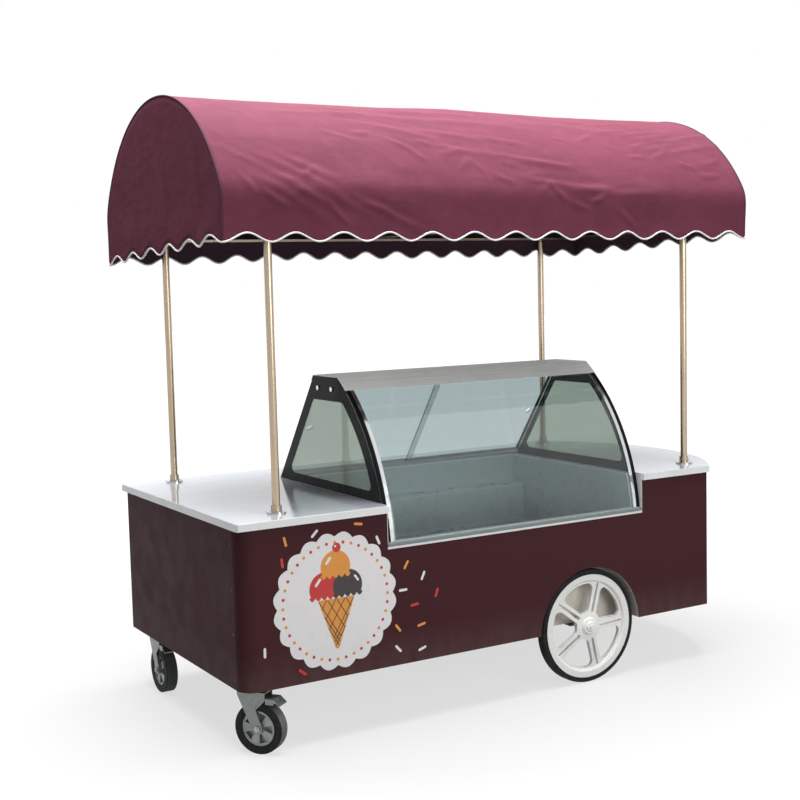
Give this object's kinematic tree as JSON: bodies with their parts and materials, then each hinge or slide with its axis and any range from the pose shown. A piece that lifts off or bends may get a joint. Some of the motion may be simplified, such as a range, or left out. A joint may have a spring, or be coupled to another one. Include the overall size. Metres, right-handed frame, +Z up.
{
  "type": "ice cream push cart",
  "caption": "Ice cream push cart: maroon body with bent-glass display, white counters, scalloped barrel canopy on posts, spoked wheels and swivel casters.",
  "frame": {"origin": "on the floor, under the middle of the overall length and depth", "axes": "+X along the cart from the casters to the bowed end, +Y to the server's side, +Z up"},
  "size_m": [2.3799, 1.184, 2.27],
  "materials": {
    "maroon_panel": "satin laminate",
    "liner": "matt",
    "board": "sealed plywood",
    "counter": "polished composite stone",
    "chassis_steel": "powder coated",
    "tub_white": "smooth",
    "trim_white": "satin",
    "clear_glass": "clear",
    "black_border": "gloss",
    "stainless": "brushed",
    "polished": "polished",
    "track_aluminium": "anodised",
    "post_steel": "polished stainless",
    "canopy_tube": "mill finish",
    "canopy_fabric": "woven polyester",
    "wheel_white": "moulded",
    "wheel_tyre": "rubber",
    "axle_steel": "machined",
    "zinc": "zinc plated",
    "hub_aluminium": "cast",
    "caster_tyre": "elastic rubber",
    "hinge_steel": "satin"
  },
  "bodies": {
    "cart": {"front_panel": "maroon_panel", "left_panel": "maroon_panel", "rear_panel_store": "maroon_panel", "rear_panel_vent": "maroon_panel", "rear_panel_wheel": "maroon_panel", "bow_panel": "maroon_panel", "fender_front": "liner", "fender_rear": "liner", "floor_board": "board", "partition_left": "board", "partition_right": "board", "counter_left": "counter", "counter_right": "counter", "counter_rear": "counter", "caster_beam": "chassis_steel", "nose_beam": "chassis_steel", "chassis_rails": "chassis_steel", "tub": "tub_white", "display_trim": "trim_white", "front_glass": "clear_glass", "side_glass_left": "clear_glass", "side_glass_right": "clear_glass", "side_border_left": "black_border", "side_border_right": "black_border", "glass_bolts": "polished", "top_plate": "stainless", "edge_strips": "polished", "track_lower": "track_aluminium", "track_upper": "track_aluminium", "post_front_left": "post_steel", "post_front_right": "post_steel", "post_rear_left": "post_steel", "post_rear_right": "post_steel", "canopy_rails": "canopy_tube", "canopy_hoop_left": "canopy_tube", "canopy_hoop_middle": "canopy_tube", "canopy_hoop_right": "canopy_tube", "canopy_cover": "canopy_fabric", "axle": "axle_steel", "axle_brackets": "chassis_steel", "caster_front_plate": "zinc", "caster_rear_plate": "zinc", "storage_hinges": "hinge_steel", "vent_grille": "chassis_steel"},
    "wheel_front": {"wheel_front_rim": "wheel_white", "wheel_front_tyre": "wheel_tyre"},
    "wheel_rear": {"wheel_rear_rim": "wheel_white", "wheel_rear_tyre": "wheel_tyre"},
    "caster_front_swivel": {"caster_front_fork": "zinc"},
    "caster_front_wheel": {"caster_front_hub": "hub_aluminium", "caster_front_tyre": "caster_tyre"},
    "caster_front_brake": {"caster_front_pedal": "zinc"},
    "caster_rear_swivel": {"caster_rear_fork": "zinc"},
    "caster_rear_wheel": {"caster_rear_hub": "hub_aluminium", "caster_rear_tyre": "caster_tyre"},
    "caster_rear_brake": {"caster_rear_pedal": "zinc"},
    "door_left": {"sliding_door_left": "clear_glass"},
    "door_right": {"sliding_door_right": "clear_glass"},
    "storage": {"storage_door": "maroon_panel", "storage_handle": "stainless"}
  },
  "joints": [
    {"name": "wheel_front_spin", "type": "hinge", "parent": "cart", "child": "wheel_front", "pos_m": [0.343, -0.507, 0.226], "axis": [0, 1, 0], "continuous": true},
    {"name": "wheel_rear_spin", "type": "hinge", "parent": "cart", "child": "wheel_rear", "pos_m": [0.343, 0.521, 0.226], "axis": [0, 1, 0], "continuous": true},
    {"name": "caster_front_turn", "type": "hinge", "parent": "cart", "child": "caster_front_swivel", "pos_m": [-1.096, -0.46, 0.2], "axis": [0, 0, 1], "continuous": true},
    {"name": "caster_front_roll", "type": "hinge", "parent": "caster_front_swivel", "child": "caster_front_wheel", "pos_m": [-1.06923, -0.49617, 0.0905], "axis": [0.8039, 0.5948, 0], "continuous": true},
    {"name": "caster_front_press", "type": "hinge", "parent": "caster_front_swivel", "child": "caster_front_brake", "pos_m": [-1.06626, -0.50019, 0.1975], "axis": [0.8039, 0.5948, 0], "range_deg": [0, 21.5]},
    {"name": "caster_rear_turn", "type": "hinge", "parent": "cart", "child": "caster_rear_swivel", "pos_m": [-1.096, 0.402, 0.2], "axis": [0, 0, 1], "continuous": true},
    {"name": "caster_rear_roll", "type": "hinge", "parent": "caster_rear_swivel", "child": "caster_rear_wheel", "pos_m": [-1.096, 0.357, 0.0905], "axis": [1, 0, 0], "continuous": true},
    {"name": "caster_rear_press", "type": "hinge", "parent": "caster_rear_swivel", "child": "caster_rear_brake", "pos_m": [-1.096, 0.352, 0.1975], "axis": [1, 0, 0], "range_deg": [0, 21.5]},
    {"name": "door_left_slide", "type": "slide", "parent": "cart", "child": "door_left", "axis": [1, 0, 0], "range_m": [0, 0.563]},
    {"name": "door_right_slide", "type": "slide", "parent": "cart", "child": "door_right", "axis": [-1, 0, 0], "range_m": [0, 0.563]},
    {"name": "storage_open", "type": "hinge", "parent": "cart", "child": "storage", "pos_m": [-1.084, 0.562, 0.527], "axis": [0, 0, 1], "range_deg": [0, 110]}
  ]
}
